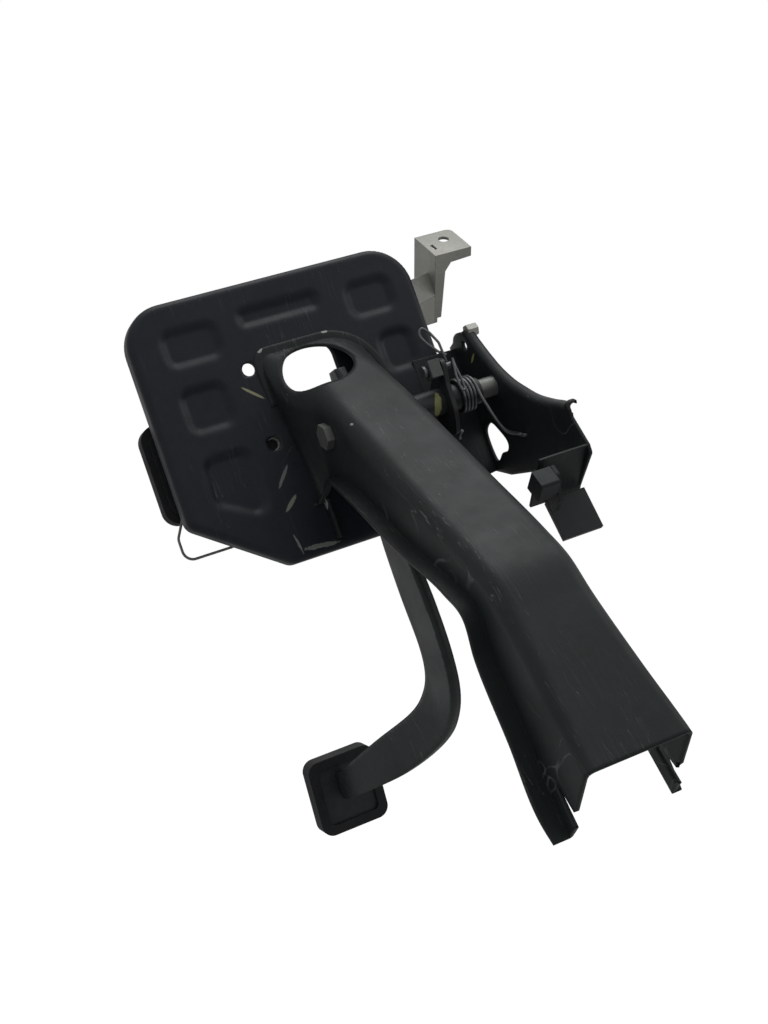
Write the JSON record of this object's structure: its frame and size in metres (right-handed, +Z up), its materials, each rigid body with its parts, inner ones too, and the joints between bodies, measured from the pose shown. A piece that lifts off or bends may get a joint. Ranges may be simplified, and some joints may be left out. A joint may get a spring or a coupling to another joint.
{
  "type": "pedal box",
  "caption": "Bulkhead pedal box: embossed mounting plate, sloping hat-section channel and a hanging brake pedal with a return spring.",
  "frame": {"origin": "on the front face of the mounting plate, in the plane of its rim-backed face, near the middle of the channel", "axes": "+X along the pedal pivot, +Y from the plate towards the driver, +Z up"},
  "size_m": [0.291, 0.4541, 0.4417],
  "materials": {
    "plate_paint": "semi-gloss black-grey coating",
    "channel_paint": "satin grey coating",
    "arm_paint": "satin grey coating",
    "bracket_paint": "satin dark coating",
    "dark_steel": "dark phosphated steel",
    "spring_steel": "bright drawn wire",
    "zinc_plate": "pale zinc plating",
    "bush_plastic": "self-lubricating bush",
    "clip_plastic": "yellowish retaining block",
    "pad_rubber": "matte moulded rubber",
    "rest_rubber": "matte moulded rubber"
  },
  "bodies": {
    "frame": {"mounting_plate": "plate_paint", "support_channel": "channel_paint", "pivot_bolt": "dark_steel", "pivot_nut": "dark_steel", "pivot_washer": "dark_steel", "bush_left": "bush_plastic", "bush_right": "bush_plastic", "spacer_sleeve": "dark_steel", "return_spring": "spring_steel", "side_bracket": "bracket_paint", "lower_tab": "bracket_paint", "tab_rib": "bracket_paint", "cable_clip": "bracket_paint", "cheek_stud": "zinc_plate", "zinc_bracket": "zinc_plate", "foot_rest_bracket": "bracket_paint", "foot_rest_pad": "rest_rubber", "foot_rest_legs": "bracket_paint", "wire_bail": "dark_steel", "weld_nut": "zinc_plate"},
    "pedal": {"pedal_hub": "dark_steel", "brake_arm": "arm_paint", "pedal_pad_plate": "arm_paint", "pedal_pad": "pad_rubber", "return_lever": "arm_paint", "lever_pin": "spring_steel", "pin_yoke": "clip_plastic", "spring_clip": "spring_steel", "locking_wire": "spring_steel"}
  },
  "joints": [
    {"name": "brake_pedal_pivot", "type": "hinge", "parent": "frame", "child": "pedal", "pos_m": [0, -0.045, 0.009], "axis": [-1, 0, 0], "range_deg": [0, 18], "stiffness_Nm_per_rad": 6, "springref_deg": -20.05, "deforming": ["return_spring"]}
  ]
}
